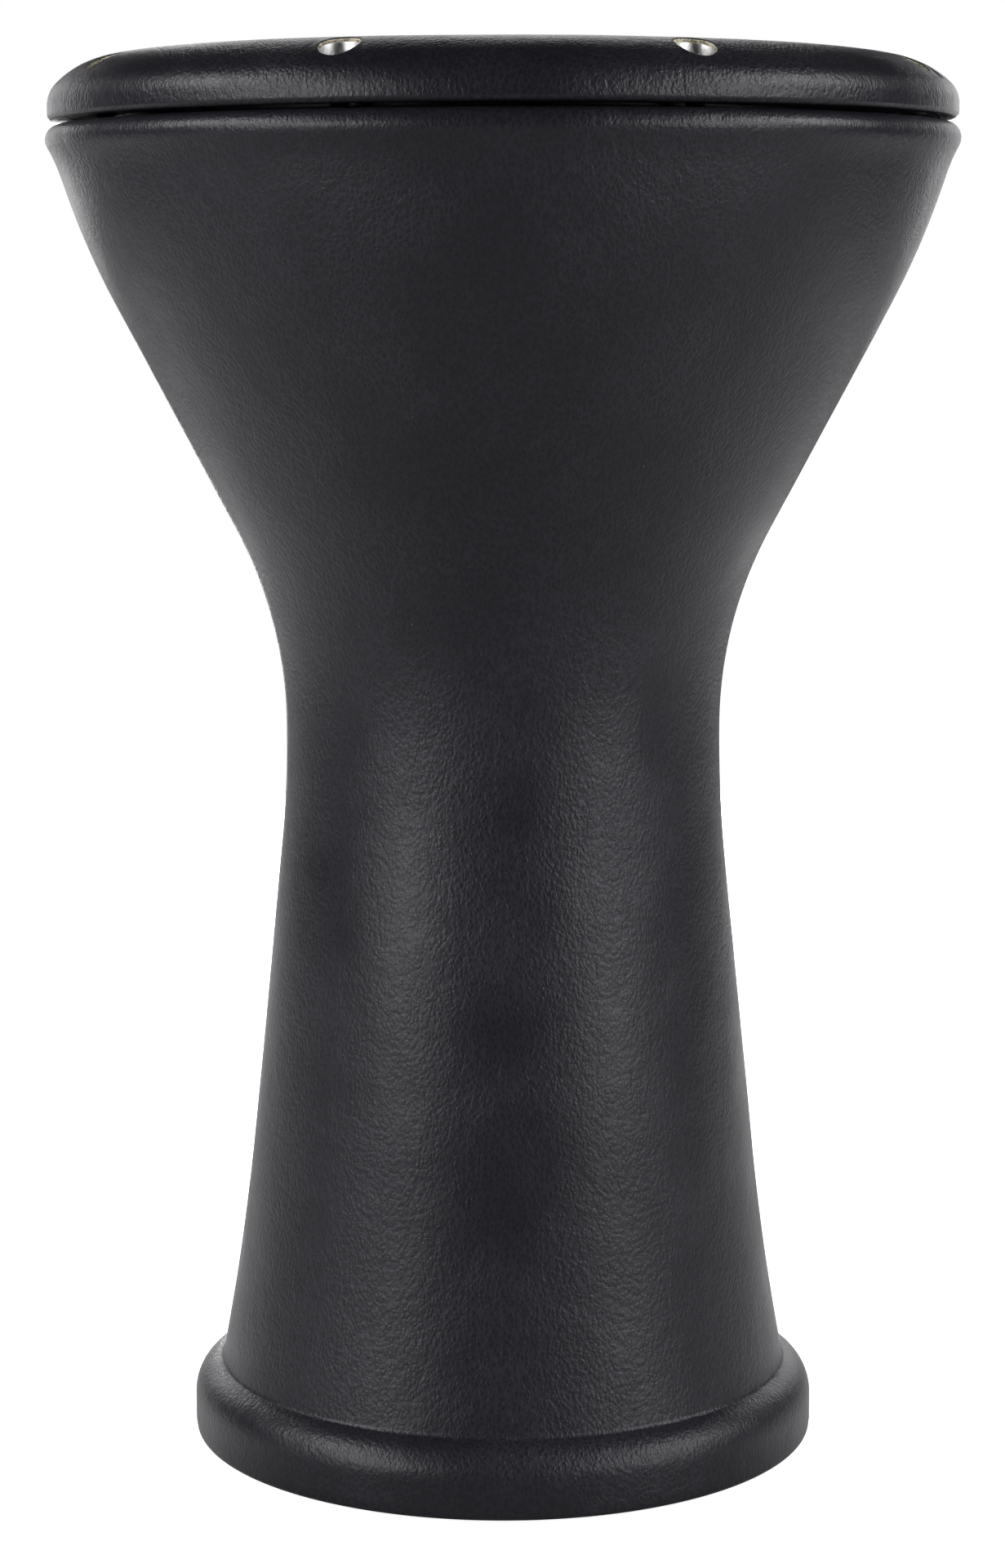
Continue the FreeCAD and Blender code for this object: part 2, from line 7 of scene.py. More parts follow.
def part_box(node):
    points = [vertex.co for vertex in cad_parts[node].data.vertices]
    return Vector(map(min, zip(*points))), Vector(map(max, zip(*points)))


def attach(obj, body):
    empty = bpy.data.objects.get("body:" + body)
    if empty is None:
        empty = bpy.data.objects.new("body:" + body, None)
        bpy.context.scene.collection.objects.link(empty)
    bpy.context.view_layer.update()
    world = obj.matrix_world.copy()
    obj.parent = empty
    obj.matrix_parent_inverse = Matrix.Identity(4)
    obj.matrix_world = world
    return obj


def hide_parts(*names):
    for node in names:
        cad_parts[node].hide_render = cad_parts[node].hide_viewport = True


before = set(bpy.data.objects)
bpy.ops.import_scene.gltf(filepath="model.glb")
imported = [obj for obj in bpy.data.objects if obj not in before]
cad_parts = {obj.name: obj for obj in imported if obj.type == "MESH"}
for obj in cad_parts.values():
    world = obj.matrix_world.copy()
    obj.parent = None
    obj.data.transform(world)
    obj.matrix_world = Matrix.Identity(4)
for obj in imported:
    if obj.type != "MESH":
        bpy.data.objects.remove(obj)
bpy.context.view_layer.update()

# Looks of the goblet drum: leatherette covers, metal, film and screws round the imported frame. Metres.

MM = 0.001
scene = bpy.context.scene

# ---------------------------------------------------------------- camera

CAMERA_DISTANCE = 1.121
CAMERA_HEIGHT = 0.36848
CAMERA_AZIMUTH = radians(-1.96)
CAMERA_PITCH = radians(8.155)
CAMERA_TURN = 0.00015  # a last small turn about the vertical
LENS = 82.17

camera_data = bpy.data.cameras.new("camera")
camera_data.sensor_width = 36.0
camera_data.lens = LENS
camera_data.clip_start = 0.05
camera = bpy.data.objects.new("camera", camera_data)
scene.collection.objects.link(camera)
camera.location = (
    CAMERA_DISTANCE * sin(CAMERA_AZIMUTH),
    -CAMERA_DISTANCE * cos(CAMERA_AZIMUTH),
    CAMERA_HEIGHT,
)
camera.rotation_euler = (pi / 2 - CAMERA_PITCH, 0, CAMERA_AZIMUTH + CAMERA_TURN)
scene.camera = camera

# ---------------------------------------------------------------- floor, light, colour

scene.view_settings.view_transform = "Standard"
scene.view_settings.look = "None"


def area_light(name, power, azimuth, elevation, distance, width, height, aim=(0, 0, 0.25)):
    """A soft box out of the camera's sight. Azimuth 0 is at the camera and turns to its right."""
    data = bpy.data.lights.new(name, "AREA")
    data.shape = "RECTANGLE"
    data.size, data.size_y = width, height
    data.energy = power
    light = bpy.data.objects.new(name, data)
    scene.collection.objects.link(light)
    a, e = radians(azimuth), radians(elevation)
    spot = Vector((sin(a) * cos(e), -cos(a) * cos(e), sin(e))) * distance + Vector(aim)
    light.location = spot
    light.rotation_euler = (Vector(aim) - spot).to_track_quat("-Z", "Y").to_euler()
    light.visible_camera = False
    return light


BOX_DISTANCE = 1.4
BOX_SIZE = 0.6


def soft_box_pair(name, power, azimuth, elevation):
    """Two equal soft boxes, one on each side of the drum."""
    for side, sign in (("left", -1), ("right", 1)):
        area_light(f"{name}_{side}", power, sign * azimuth, elevation, BOX_DISTANCE, BOX_SIZE, BOX_SIZE)


# watts, azimuth and elevation in degrees
soft_box_pair("front", 7, 50, 8)
soft_box_pair("side", 9, 75, 30)
soft_box_pair("rear", 3, 150, 10)
area_light("back", 18, 180, 2, BOX_DISTANCE, BOX_SIZE, BOX_SIZE)
area_light("back_high", 3, 180, 30, BOX_DISTANCE, BOX_SIZE, BOX_SIZE)


def tree(owner):
    owner.use_nodes = True
    owner.node_tree.nodes.clear()
    return owner.node_tree


def node(t, kind, settings=None, **inputs):
    """A shader node with its settings and inputs. An input takes a value or another node's output."""
    made = t.nodes.new(kind)
    for key, value in (settings or {}).items():
        setattr(made, key, value)
    for key, value in inputs.items():
        wanted = key.replace("_", " ").lower()
        if key.startswith("i") and key[1:].isdigit():
            socket = made.inputs[int(key[1:])]
        else:
            socket = next(s for s in made.inputs if s.name.lower() == wanted and s.enabled)
        if isinstance(value, bpy.types.NodeSocket):
            t.links.new(value, socket)
        else:
            socket.default_value = value
    return made


def out(made, name=None):
    if name is None:
        return next(s for s in made.outputs if s.enabled)
    return next(s for s in made.outputs if s.name == name and s.enabled)


def math(t, operation, a, b=0.0, c=None, clamp=False):
    made = t.nodes.new("ShaderNodeMath")
    made.operation = operation
    made.use_clamp = clamp
    for socket, value in zip(made.inputs, (a, b, c)):
        if value is None:
            continue
        if isinstance(value, bpy.types.NodeSocket):
            t.links.new(value, socket)
        else:
            socket.default_value = value
    return made.outputs[0]


def ramp(t, value, low, high, to_low=0.0, to_high=1.0, smooth=True):
    made = t.nodes.new("ShaderNodeMapRange")
    made.interpolation_type = "SMOOTHSTEP" if smooth else "LINEAR"
    for socket, given in zip(made.inputs, (value, low, high, to_low, to_high)):
        if isinstance(given, bpy.types.NodeSocket):
            t.links.new(given, socket)
        else:
            socket.default_value = given
    return made.outputs[0]


def mix_colour(t, factor, a, b):
    made = t.nodes.new("ShaderNodeMix")
    made.data_type = "RGBA"
    for socket, given in ((made.inputs[0], factor), (made.inputs[6], a), (made.inputs[7], b)):
        if isinstance(given, bpy.types.NodeSocket):
            t.links.new(given, socket)
        else:
            socket.default_value = given
    return made.outputs[2]


def noise_texture(t, position, scale, detail, roughness=0.5):
    return node(t, "ShaderNodeTexNoise", Vector=position, Scale=scale, Detail=detail, Roughness=roughness)


def line_texture(t, along, scale, detail):
    """Noise that changes in one direction only, for tool marks."""
    made = node(t, "ShaderNodeTexNoise", {"noise_dimensions": "1D"}, W=along, Scale=scale, Detail=detail)
    return out(made, "Fac")


def wandering(t, position, scale, detail, roughness, reach):
    """A small vector that wanders from place to place."""
    made = out(noise_texture(t, position, scale, detail, roughness), "Color")
    made = node(t, "ShaderNodeVectorMath", {"operation": "SUBTRACT"}, i0=made, i1=(0.5, 0.5, 0.5))
    made = node(t, "ShaderNodeVectorMath", {"operation": "SCALE"}, Vector=made.outputs[0], Scale=reach)
    return made.outputs[0]


def length_of(t, a, b):
    return math(t, "SQRT", math(t, "ADD", math(t, "MULTIPLY", a, a), math(t, "MULTIPLY", b, b)))


def make_world():
    """White for the camera, and a dim even room for everything else."""
    world = bpy.data.worlds.new("studio")
    scene.world = world
    t = tree(world)
    room = node(t, "ShaderNodeBackground", Color=(1, 1, 1, 1), Strength=0.02)
    plain = node(t, "ShaderNodeBackground", Color=(1, 1, 1, 1), Strength=1.0)
    seen = out(node(t, "ShaderNodeLightPath"), "Is Camera Ray")
    both = t.nodes.new("ShaderNodeMixShader")
    t.links.new(seen, both.inputs[0])
    t.links.new(room.outputs[0], both.inputs[1])
    t.links.new(plain.outputs[0], both.inputs[2])
    node(t, "ShaderNodeOutputWorld", Surface=both.outputs[0])


make_world()


def make_floor():
    """A wide pale floor, lifted to white for the camera only."""
    mesh = bpy.data.meshes.new("floor")
    half = 14.0
    corners = [(-half, -half, 0), (half, -half, 0), (half, half, 0), (-half, half, 0)]
    mesh.from_pydata(corners, [], [(0, 1, 2, 3)])
    floor = bpy.data.objects.new("floor", mesh)
    scene.collection.objects.link(floor)
    floor.location.z = -0.0002
    material = bpy.data.materials.new("floor")
    t = tree(material)
    position = out(node(t, "ShaderNodeTexCoord"), "Object")
    grain = noise_texture(t, position, 3.0, 3.0)
    shade = ramp(t, out(grain, "Fac"), 0.3, 0.7, 0.0, 1.0)
    colour = mix_colour(t, shade, (0.90, 0.90, 0.90, 1), (0.92, 0.92, 0.92, 1))
    reach = out(node(t, "ShaderNodeVectorMath", {"operation": "LENGTH"}, i0=position), "Value")
    glow = ramp(t, reach, 0.25, 1.6, 0.82, 1.0)
    seen = node(
        t, "ShaderNodeBsdfPrincipled", Base_Color=colour, Roughness=0.8, Specular_IOR_Level=0.2,
        Emission_Color=(1, 1, 1, 1), Emission_Strength=glow,
    )
    # what the drum reflects: a grey card in front of it, white paper behind, glowing softly near the foot
    back = node(t, "ShaderNodeSeparateXYZ", Vector=position).outputs[1]
    paper = mix_colour(t, ramp(t, back, -0.08, 0.16), (0.38, 0.38, 0.38, 1), (0.85, 0.85, 0.85, 1))
    close = math(t, "MULTIPLY", ramp(t, reach, 0.14, 0.32, 1.0, 0.0), ramp(t, back, -0.09, -0.01))
    bounced = node(
        t, "ShaderNodeBsdfPrincipled", Base_Color=paper, Roughness=0.9,
        Emission_Color=(1, 1, 1, 1), Emission_Strength=math(t, "MULTIPLY", close, 0.45),
    )
    both = t.nodes.new("ShaderNodeMixShader")
    t.links.new(out(node(t, "ShaderNodeLightPath"), "Is Camera Ray"), both.inputs[0])
    t.links.new(bounced.outputs[0], both.inputs[1])
    t.links.new(seen.outputs[0], both.inputs[2])
    node(t, "ShaderNodeOutputMaterial", Surface=both.outputs[0])
    mesh.materials.append(material)


make_floor()

# ---------------------------------------------------------------- materials


def finish_material(t, surface):
    node(t, "ShaderNodeOutputMaterial", Surface=surface.outputs[0])


def bump(t, height, distance, strength=1.0, under=None):
    made = node(t, "ShaderNodeBump", Height=height, Distance=distance, Strength=strength)
    if under is not None:
        t.links.new(under, made.inputs["Normal"])
    return made.outputs["Normal"]


def round_coordinates(t, position):
    """The angle round the drum, measured so that it jumps at the back seam, and the height."""
    x, y, z = node(t, "ShaderNodeSeparateXYZ", Vector=position).outputs
    return math(t, "ARCTAN2", x, math(t, "MULTIPLY", y, -1.0)), z


def leatherette(name, wrinkle_zones, grain):
    """Black pebbled leatherette. A wrinkle zone is (middle height, half width) of a band of puckers."""
    material = bpy.data.materials.new(name)
    t = tree(material)
    position = out(node(t, "ShaderNodeTexCoord"), "Object")

    # the grain wanders, so the cells are pulled about before they are drawn
    drift = wandering(t, position, 120.0, 2.0, 0.5, 0.0030)
    frill = wandering(t, position, 900.0, 2.0, 0.6, 0.0013)
    bent = node(t, "ShaderNodeVectorMath", {"operation": "ADD"}, i0=position, i1=drift).outputs[0]
    bent = node(t, "ShaderNodeVectorMath", {"operation": "ADD"}, i0=bent, i1=frill).outputs[0]

    def cells(scale, feature, stretch):
        vector = node(t, "ShaderNodeVectorMath", {"operation": "MULTIPLY"}, i0=bent, i1=stretch)
        made = node(t, "ShaderNodeTexVoronoi", {"feature": feature}, Vector=vector.outputs[0], Scale=scale)
        return out(made, "Distance")

    flow = (1.0, 1.0, 0.72)
    pebbles = math(t, "SUBTRACT", 1.0, ramp(t, cells(820.0, "F1", stretch=flow), 0.05, 0.95))
    creases = ramp(t, cells(820.0, "DISTANCE_TO_EDGE", stretch=flow), -0.03, 0.16)
    small = ramp(t, cells(1600.0, "F1", stretch=flow), 0.0, 0.9, 1.0, 0.0)
    long_creases = ramp(t, cells(210.0, "DISTANCE_TO_EDGE", stretch=(1.0, 1.0, 0.45)), 0.0, 0.08)
    fine = out(noise_texture(t, position, 2600.0, 2.0), "Fac")
    patches = out(noise_texture(t, position, 26.0, 3.0), "Fac")
    depth = ramp(t, patches, 0.32, 0.68, 0.55, 1.10)

    height = math(t, "MULTIPLY", pebbles, 0.62)
    height = math(t, "MULTIPLY_ADD", creases, 0.08, height)
    height = math(t, "MULTIPLY_ADD", small, 0.12, height)
    height = math(t, "MULTIPLY_ADD", long_creases, 0.22, height)
    height = math(t, "MULTIPLY", height, depth)
    height = math(t, "MULTIPLY_ADD", fine, 0.06, height)

    angle, z = round_coordinates(t, position)
    round_drum = math(t, "MULTIPLY", angle, 0.13)
    along = node(t, "ShaderNodeCombineXYZ", X=round_drum, Y=math(t, "MULTIPLY", z, 0.16))
    pucker = ramp(t, out(noise_texture(t, along.outputs[0], 620.0, 2.0, 0.6), "Fac"), 0.30, 0.70)
    amount = None
    for middle, half in wrinkle_zones:
        away = math(t, "ABSOLUTE", math(t, "SUBTRACT", z, middle))
        here = ramp(t, away, half * 0.2, half, 1.0, 0.0)
        amount = here if amount is None else math(t, "MAXIMUM", amount, here)
    patchy = ramp(t, patches, 0.40, 0.60, 0.1, 1.0)
    amount = math(t, "MULTIPLY", amount, patchy)
    height = math(t, "MULTIPLY_ADD", math(t, "MULTIPLY", pucker, amount), 0.35, height)

    swell = out(noise_texture(t, position, 70.0, 2.0), "Fac")
    normal = bump(t, swell, 0.0006, 0.5)
    normal = bump(t, height, grain, 1.0, normal)

    # painted highlight: the valleys between the pebbles are painted paler, as if their crease lines caught
    # the light, and the patches add a random tone
    painted_crease_highlight = math(t, "MULTIPLY", math(t, "SUBTRACT", 1.0, pebbles), depth)
    highlight_and_tone = math(t, "MULTIPLY_ADD", painted_crease_highlight, 0.85, math(t, "MULTIPLY", patches, 0.15), clamp=True)
    colour = mix_colour(t, highlight_and_tone, LEATHER_DARK, LEATHER_PALE_AND_HIGHLIT)
    # a little lint: rare pale specks
    lint = node(t, "ShaderNodeTexVoronoi", Vector=position, Scale=75.0)
    speck = ramp(t, out(lint, "Distance"), 0.010, 0.022, 1.0, 0.0)
    kept = node(t, "ShaderNodeSeparateColor", Color=out(lint, "Color"))
    speck = math(t, "MULTIPLY", speck, math(t, "GREATER_THAN", kept.outputs[0], 0.72))
    colour = mix_colour(t, math(t, "MULTIPLY", speck, 0.35), colour, (0.30, 0.30, 0.29, 1))

    rough = ramp(t, patches, 0.25, 0.75, LEATHER_ROUGH - 0.03, LEATHER_ROUGH + 0.05)
    rough = math(t, "MULTIPLY_ADD", creases, -0.05, rough)
    surface = node(
        t, "ShaderNodeBsdfPrincipled", Base_Color=colour, Roughness=rough, Normal=normal,
        Specular_IOR_Level=LEATHER_SPECULAR, Specular_Tint=(0.96, 0.95, 1.0, 1),
    )
    finish_material(t, surface)
    return material


LEATHER_DARK = (0.0068, 0.0064, 0.0096, 1)
# the pale end is also the painted highlight in the grain's valleys
LEATHER_PALE_AND_HIGHLIT = (0.0195, 0.0187, 0.0245, 1)
LEATHER_ROUGH = 0.42
LEATHER_SPECULAR = 0.42


def woven_backing():
    """The cut edge of the leatherette: a beige gauze with dark gaps between its threads."""
    material = bpy.data.materials.new("leatherette_backing")
    t = tree(material)
    position = out(node(t, "ShaderNodeTexCoord"), "Object")
    threads = node(t, "ShaderNodeTexVoronoi", {"feature": "DISTANCE_TO_EDGE"}, Vector=position, Scale=1900.0)
    gap = ramp(t, out(threads, "Distance"), 0.03, 0.16)
    fuzz = out(noise_texture(t, position, 3200.0, 3.0), "Fac")
    holes = ramp(t, out(noise_texture(t, position, 900.0, 1.0), "Fac"), 0.40, 0.55)
    beige = mix_colour(t, fuzz, (0.66, 0.58, 0.42, 1), (0.97, 0.92, 0.76, 1))
    thread = math(t, "MAXIMUM", math(t, "MULTIPLY", gap, 0.85), holes)
    colour = mix_colour(t, thread, (0.07, 0.055, 0.04, 1), beige)
    normal = bump(t, math(t, "MULTIPLY_ADD", gap, 0.7, fuzz), 0.00015)
    surface = node(t, "ShaderNodeBsdfPrincipled", Base_Color=colour, Roughness=0.85, Normal=normal)
    finish_material(t, surface)
    return material


def cast_aluminium():
    """Sand-cast wall, turned bright where the foot stands and where the film and the ring seat."""
    material = bpy.data.materials.new("cast_aluminium")
    t = tree(material)
    position = out(node(t, "ShaderNodeTexCoord"), "Object")
    split = node(t, "ShaderNodeSeparateXYZ", Vector=position)
    x, y, z = split.outputs
    radius = length_of(t, x, y)
    sand = out(noise_texture(t, position, 620.0, 4.0, 0.7), "Fac")
    lumps = out(noise_texture(t, position, 60.0, 3.0), "Fac")
    pits = node(t, "ShaderNodeTexVoronoi", Vector=position, Scale=260.0)
    pit = ramp(t, out(pits, "Distance"), 0.05, 0.20)
    stain = out(noise_texture(t, position, 14.0, 5.0, 0.65), "Fac")
    foot = ramp(t, z, 0.0006, 0.0016, 1.0, 0.0)
    flange_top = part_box("shell_cover")[1][2] - 1.3 * MM
    top = ramp(t, z, flange_top - 0.4 * MM, flange_top, 0.0, 1.0)
    inside = ramp(t, radius, 0.1068, 0.1074)
    turned = math(t, "MAXIMUM", foot, math(t, "MULTIPLY", top, inside))
    lathe = line_texture(t, radius, 9000.0, 2.0)
    rough_height = math(t, "MULTIPLY_ADD", sand, 0.55, math(t, "MULTIPLY", pit, 0.45))
    rough_height = math(t, "MULTIPLY_ADD", lumps, 1.2, rough_height)
    fine_height = math(t, "MULTIPLY", lathe, 0.10)
    height = node(t, "ShaderNodeMix", {"data_type": "FLOAT"}, i0=turned, i2=rough_height, i3=fine_height)
    normal = bump(t, height.outputs[0], 0.00035)
    cast = mix_colour(t, stain, (0.30, 0.30, 0.30, 1), (0.52, 0.52, 0.51, 1))
    colour = mix_colour(t, turned, cast, (0.74, 0.74, 0.75, 1))
    cast_rough = ramp(t, sand, 0.3, 0.7, 0.48, 0.68)
    bright_rough = ramp(t, lathe, 0.3, 0.7, 0.18, 0.34)
    rough = node(t, "ShaderNodeMix", {"data_type": "FLOAT"}, i0=turned, i2=cast_rough, i3=bright_rough)
    # painted shade: a near-black band on the flange past the hem of the leatherette, where the gap under the
    # ring lets little light in
    high = ramp(t, z, flange_top - 30 * MM, flange_top - 26 * MM)
    gap_shade = math(t, "MULTIPLY", ramp(t, radius, 0.1142, 0.1150), high)
    metal = math(t, "SUBTRACT", 1.0, gap_shade)
    colour = mix_colour(t, gap_shade, colour, GAP_SHADE_BLACK)
    rough = math(t, "MAXIMUM", rough.outputs[0], math(t, "MULTIPLY", gap_shade, 0.75))
    surface = node(
        t, "ShaderNodeBsdfPrincipled", Base_Color=colour, Metallic=metal, Roughness=rough, Normal=normal,
    )
    finish_material(t, surface)
    return material


# near-black colour painted as shade where parts sit inside the dark gap
GAP_SHADE_BLACK = (0.016, 0.014, 0.012, 1)


def machined_aluminium():
    """The ring: bright bored wells; elsewhere painted shade, near-black over the casting, as the ring sits in
    the dark gap.
    """
    material = bpy.data.materials.new("machined_aluminium")
    t = tree(material)
    position = out(node(t, "ShaderNodeTexCoord"), "Object")
    split = node(t, "ShaderNodeSeparateXYZ", Vector=position)
    smear = out(noise_texture(t, position, 420.0, 4.0, 0.65), "Fac")
    marks = line_texture(t, split.outputs[2], 7000.0, 2.0)
    height = math(t, "MULTIPLY_ADD", smear, 0.8, math(t, "MULTIPLY", marks, 0.12))
    normal = bump(t, height, 0.00014)
    colour = mix_colour(t, smear, (0.55, 0.55, 0.55, 1), (0.86, 0.86, 0.86, 1))
    rough = ramp(t, smear, 0.3, 0.7, 0.30, 0.48)
    # distance from the nearest of the eight bolt axes, by folding the circle into one eighth
    x, y = split.outputs[0], split.outputs[1]
    radius = length_of(t, x, y)
    eighth = 2 * pi / BOLTS
    first = atan2(bolt_places[0][1], bolt_places[0][0])
    folded = math(t, "FLOORED_MODULO", math(t, "ADD", math(t, "ARCTAN2", y, x), eighth / 2 - first), eighth)
    folded = math(t, "SUBTRACT", folded, eighth / 2)
    along = math(t, "SUBTRACT", math(t, "MULTIPLY", radius, math(t, "COSINE", folded)), BOLT_CIRCLE)
    across = math(t, "MULTIPLY", radius, math(t, "SINE", folded))
    from_axis = length_of(t, along, across)
    # painted shade: all but the bored wells is coloured near-black
    gap_shade = ramp(t, from_axis, 5.9 * MM, 6.2 * MM)
    colour = mix_colour(t, gap_shade, colour, GAP_SHADE_BLACK)
    rough = math(t, "MAXIMUM", rough, math(t, "MULTIPLY", gap_shade, 0.75))
    metal = math(t, "SUBTRACT", 1.0, gap_shade)
    surface = node(
        t, "ShaderNodeBsdfPrincipled", Base_Color=colour, Metallic=metal, Roughness=rough, Normal=normal,
    )
    finish_material(t, surface)
    return material


def satin_aluminium():
    """Drawn hoop in painted shade, coloured near-black since it sits deep in the gap: fine marks along it."""
    material = bpy.data.materials.new("hoop_aluminium")
    t = tree(material)
    position = out(node(t, "ShaderNodeTexCoord"), "Object")
    split = node(t, "ShaderNodeSeparateXYZ", Vector=position)
    marks = line_texture(t, split.outputs[2], 11000.0, 3.0)
    haze = out(noise_texture(t, position, 90.0, 4.0), "Fac")
    normal = bump(t, marks, 0.00004)
    # painted shade: the aluminium is coloured near-black
    colour = mix_colour(t, haze, (0.020, 0.020, 0.021, 1), (0.045, 0.045, 0.047, 1))
    rough = ramp(t, haze, 0.3, 0.7, 0.34, 0.46)
    surface = node(
        t, "ShaderNodeBsdfPrincipled", Base_Color=colour, Metallic=1.0, Roughness=rough, Normal=normal,
    )
    finish_material(t, surface)
    return material


def film_plastic():
    """Milky polyester film, faintly mottled and rubbed where hands strike it."""
    material = bpy.data.materials.new("film")
    t = tree(material)
    position = out(node(t, "ShaderNodeTexCoord"), "Object")
    split = node(t, "ShaderNodeSeparateXYZ", Vector=position)
    x, y = split.outputs[0], split.outputs[1]
    radius = length_of(t, x, y)
    mottle = out(noise_texture(t, position, 240.0, 5.0, 0.7), "Fac")
    clouds = out(noise_texture(t, position, 18.0, 4.0), "Fac")
    struck = ramp(t, math(t, "ABSOLUTE", math(t, "SUBTRACT", radius, 0.085)), 0.0, 0.03, 1.0, 0.0)
    struck = math(t, "MULTIPLY", struck, ramp(t, clouds, 0.4, 0.6))
    colour = mix_colour(t, clouds, (0.80, 0.80, 0.78, 1), (0.88, 0.88, 0.87, 1))
    colour = mix_colour(t, math(t, "MULTIPLY", struck, 0.25), colour, (0.66, 0.65, 0.62, 1))
    normal = bump(t, mottle, 0.00004)
    rough = ramp(t, mottle, 0.3, 0.7, 0.28, 0.42)
    rough = math(t, "MULTIPLY_ADD", struck, -0.10, rough)
    surface = node(
        t, "ShaderNodeBsdfPrincipled", Base_Color=colour, Roughness=rough, Normal=normal,
        Alpha=0.86, Specular_IOR_Level=0.5,
    )
    finish_material(t, surface)
    return material


def zinc_steel():
    """Zinc-plated steel, slightly cloudy, with painted shade, near-black, down the screws' shanks."""
    material = bpy.data.materials.new("zinc_steel")
    t = tree(material)
    position = out(node(t, "ShaderNodeTexCoord"), "Object")
    cloud = out(noise_texture(t, position, 500.0, 4.0), "Fac")
    scuffs = out(noise_texture(t, position, 2400.0, 3.0, 0.7), "Fac")
    normal = bump(t, scuffs, 0.00003)
    colour = mix_colour(t, cloud, (0.50, 0.50, 0.50, 1), (0.68, 0.68, 0.66, 1))
    z = node(t, "ShaderNodeSeparateXYZ", Vector=position).outputs[2]
    # painted shade: the shank below the seat is coloured near-black, where the gap keeps it dark
    shank_shade = ramp(t, z, -0.0035, -0.0020, 1.0, 0.0)
    colour = mix_colour(t, shank_shade, colour, (0.012, 0.011, 0.010, 1))
    rough = math(t, "MULTIPLY_ADD", shank_shade, 0.30, ramp(t, cloud, 0.3, 0.7, 0.22, 0.38))
    surface = node(
        t, "ShaderNodeBsdfPrincipled", Base_Color=colour, Metallic=1.0, Roughness=rough, Normal=normal,
    )
    finish_material(t, surface)
    return material


# ---------------------------------------------------------------- outlines of the two covers


class Walk:
    """Walks an outline of straight stretches and tangent arcs, keeping points as (radius, height, nr, nz)."""

    def __init__(self, r, z, heading, step):
        self.r, self.z, self.heading, self.step = r, z, heading, step
        self.points = []
        self._keep()

    def _keep(self):
        h = radians(self.heading)
        self.points.append((self.r, self.z, sin(h), -cos(h)))

    def line(self, length=None, to_r=None, to_z=None):
        h = radians(self.heading)
        if to_r is not None:
            length = (to_r - self.r) / cos(h)
        if to_z is not None:
            length = (to_z - self.z) / sin(h)
        count = max(1, ceil(length / self.step))
        for _ in range(count):
            self.r += length / count * cos(h)
            self.z += length / count * sin(h)
            self._keep()
        return self

    def arc(self, radius, turn, side):
        count = max(6, ceil(radius * radians(turn) / self.step))
        across = radians(self.heading + 90 * side)
        middle = (self.r + radius * cos(across), self.z + radius * sin(across))
        for _ in range(count):
            self.heading += side * turn / count
            back = radians(self.heading - 90 * side)
            self.r = middle[0] + radius * cos(back)
            self.z = middle[1] + radius * sin(back)
            self._keep()
        return self


COVER = 1.2 * MM
shell_low, shell_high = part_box("shell_cover")
ring_low, ring_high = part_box("ring_cover")
FLANGE_TOP = shell_high[2] - COVER
HEM_INNER = 133.0 * MM


# the folds at the gap stand proud of the plain covers
RING_HEM = 0.60 * MM
BEAD_TOP = -0.25 * MM
NAP = 0.25 * MM  # how far the skin stands proud of the plain solid
LEAN = 0.004  # the gap sits a little lower on the left


def shell_outline(step):
    """Outside of the shell cover, from the hem under the foot to the edge on the flange."""
    w = Walk(93.9 * MM, shell_low[2], 0, step)
    w.line(to_r=96.8 * MM).arc(2.0 * MM, 90, 1).line(to_z=11.96 * MM)
    w.arc(11.2 * MM, 68, 1).line(1.01 * MM).arc(1.8 * MM, 57.15, -1).arc(853 * MM, 5.05, -1)
    w.line(89.6 * MM).arc(373 * MM, 6.2, -1).arc(135 * MM, 27.3, -1)
    w.line(77.3 * MM).arc(238 * MM, 8.9, 1).line(6.2 * MM).arc(49.8 * MM, 10.2, -1)
    w.arc(4.8 * MM, 180 - w.heading, 1).line(to_r=HEM_INNER)
    start = FLANGE_TOP - 5 * MM
    span = shell_high[2] - start
    return [(r, z + BEAD_TOP * max(0.0, (z - start) / span), nr, nz) for r, z, nr, nz in w.points]


def ring_outline(step):
    """Outside of the ring cover, from the hem under the wall to the end of the fold inside the lip."""
    w = Walk(133.3 * MM, ring_low[2], 0, step)
    w.line(to_r=137.8 * MM).arc(1.5 * MM, 90, 1).line(to_z=FLANGE_TOP + 6.6 * MM)
    w.arc(8.6 * MM, 45.5, 1).arc(28.7 * MM, 44.5, 1).arc(2.6 * MM, 90, 1)
    w.line(to_z=FLANGE_TOP + 14.2 * MM)
    fade = 4 * MM
    return [(r, z - RING_HEM * max(0.0, 1 - (z - ring_low[2]) / fade), nr, nz) for r, z, nr, nz in w.points]


# ---------------------------------------------------------------- meshes of the two covers


def soft_noise(point, scale, seed=0.0):
    x, y, z = point
    return noise.noise(Vector((x * scale + seed, y * scale - seed, z * scale + 2 * seed)))


def make_piece(name, vertices, faces, materials, face_materials=None, sharp_angle=50):
    """A smooth-shaded mesh object whose edges sharper than sharp_angle stay crisp."""
    mesh = bpy.data.meshes.new(name)
    mesh.from_pydata(vertices, [], faces)
    for material in materials:
        mesh.materials.append(material)
    if face_materials:
        mesh.polygons.foreach_set("material_index", face_materials)
    mesh.shade_smooth()
    mesh.update()
    mesh.set_sharp_from_angle(angle=radians(sharp_angle))
    made = bpy.data.objects.new(name, mesh)
    scene.collection.objects.link(made)
    return made


def at_angle(angle, r, z):
    """A point round the drum: angle 0 is the front, -Y, and it grows towards +X."""
    return (r * sin(angle), -r * cos(angle), z)


SEAM_STEPS = (0.0, 0.0015, 0.003, 0.0045, 0.0065, 0.009, 0.0125, 0.0175)


